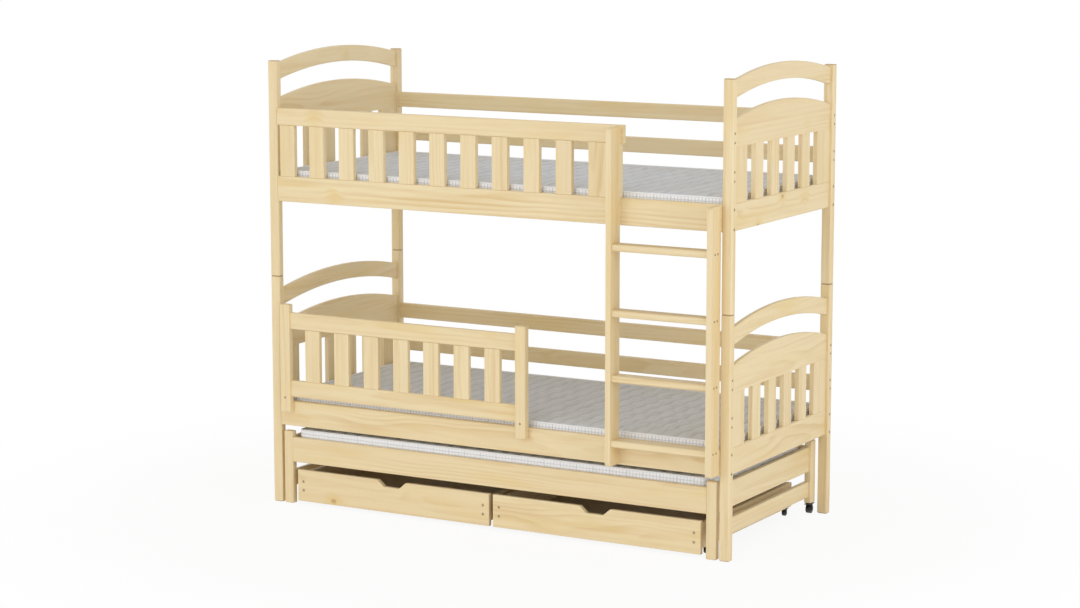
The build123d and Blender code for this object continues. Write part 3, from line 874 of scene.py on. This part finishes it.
for side in ("left", "right"):
    front_low, front_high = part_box(side + "_drawer_front")
    drawer_rows = []
    for x in (front_low[0] + 0.026, front_high[0] - 0.026):
        for z in (0.057, 0.0915):
            drawer_rows.append(((x, front_low[1], z), (0, -1, 0), bolt_head_radius))
    make_screws(side + "_drawer_screws", side + "_drawer", drawer_rows)


# Floor, light and camera


def seen_directly(tree):
    """1 for rays from the camera, also by way of gloss or glass, and 0 for light."""
    path = add(tree, "ShaderNodeLightPath").outputs
    seen = calc(tree, "MAXIMUM", path["Is Camera Ray"], path["Is Glossy Ray"])
    return calc(tree, "MAXIMUM", seen, path["Is Transmission Ray"])


def make_floor():
    bm = bmesh.new()
    bmesh.ops.create_grid(bm, x_segments=8, y_segments=8, size=floor_size)
    mesh = bpy.data.meshes.new("studio_floor")
    bm.to_mesh(mesh)
    bm.free()
    floor = bpy.data.objects.new("studio_floor", mesh)
    bpy.context.scene.collection.objects.link(floor)
    material = new_material("studio_white")
    tree = material.node_tree
    diffuse = add(tree, "ShaderNodeBsdfDiffuse", {"Color": (0.90, 0.90, 0.90, 1)})
    glow = add(tree, "ShaderNodeEmission", {"Color": white, "Strength": 1.0})
    # White everywhere in the picture but for the object's shadow, which shows near the object.
    away = add(tree, "ShaderNodeVectorMath", {0: object_place(tree)}, operation="LENGTH")
    clear = step_between(tree, away.outputs["Value"], 1.2, 2.6)
    share = calc(tree, "MULTIPLY_ADD", clear, 0.09, 0.91)
    share = calc(tree, "MULTIPLY", seen_directly(tree), share)
    both = add(tree, "ShaderNodeMixShader", {0: share, 1: diffuse.outputs[0], 2: glow.outputs[0]})
    add(tree, "ShaderNodeOutputMaterial", {"Surface": both.outputs[0]})
    mesh.materials.append(material)
    floor.location = (0, 0, -floor_drop)


def make_world():
    world = bpy.data.worlds.new("studio")
    bpy.context.scene.world = world
    world.use_nodes = True
    tree = world.node_tree
    tree.nodes.clear()
    # The studio's front and side walls are brighter than its ceiling and its back wall.
    way = add(tree, "ShaderNodeTexCoord").outputs["Generated"]
    way = add(tree, "ShaderNodeSeparateXYZ", {0: way}).outputs
    ceiling = step_between(tree, way[2], 0.05, 0.95)
    behind = step_between(tree, way[1], -0.2, 0.9)
    strength = calc(tree, "MULTIPLY_ADD", ceiling, -0.30, 0.99)
    strength = calc(tree, "MULTIPLY_ADD", behind, -0.18, strength)
    light = add(tree, "ShaderNodeBackground", {"Color": white, "Strength": strength}).outputs[0]
    plain = add(tree, "ShaderNodeBackground", {"Color": white, "Strength": 1.0}).outputs[0]
    both = add(tree, "ShaderNodeMixShader", {0: seen_directly(tree), 1: light, 2: plain})
    add(tree, "ShaderNodeOutputWorld", {"Surface": both.outputs[0]})


def softbox(name, place, target, size, power):
    data = bpy.data.lights.new(name, "AREA")
    data.shape = "SQUARE"
    data.size = size
    data.energy = power
    lamp = bpy.data.objects.new(name, data)
    bpy.context.scene.collection.objects.link(lamp)
    lamp.location = place
    lamp.rotation_mode = "QUATERNION"
    lamp.rotation_quaternion = (Vector(target) - Vector(place)).to_track_quat("-Z", "Y")


def make_camera():
    """The photograph's viewpoint: far off, a little above the upper bunk, turned to show the right end."""
    data = bpy.data.cameras.new("photo_view")
    data.sensor_width = 36
    data.lens = camera_lens
    camera = bpy.data.objects.new("photo_view", data)
    bpy.context.scene.collection.objects.link(camera)
    camera.location = camera_place
    level = math.cos(camera_down)
    ahead = Vector(
        (-math.sin(camera_turn) * level, math.cos(camera_turn) * level, -math.sin(camera_down))
    )
    camera.rotation_mode = "QUATERNION"
    camera.rotation_quaternion = ahead.to_track_quat("-Z", "Y")
    data.clip_start = 0.1
    data.clip_end = 100
    bpy.context.scene.camera = camera


make_floor()
make_world()
softbox("front_softbox", (-0.8, -4.4, 1.0), (0.0, -0.3, 0.7), 2.4, 30)
softbox("end_softbox", (5.6, -1.4, 1.3), (0.4, 0.0, 0.8), 2.4, 49)
make_camera()
bpy.context.scene.view_settings.view_transform = "Standard"
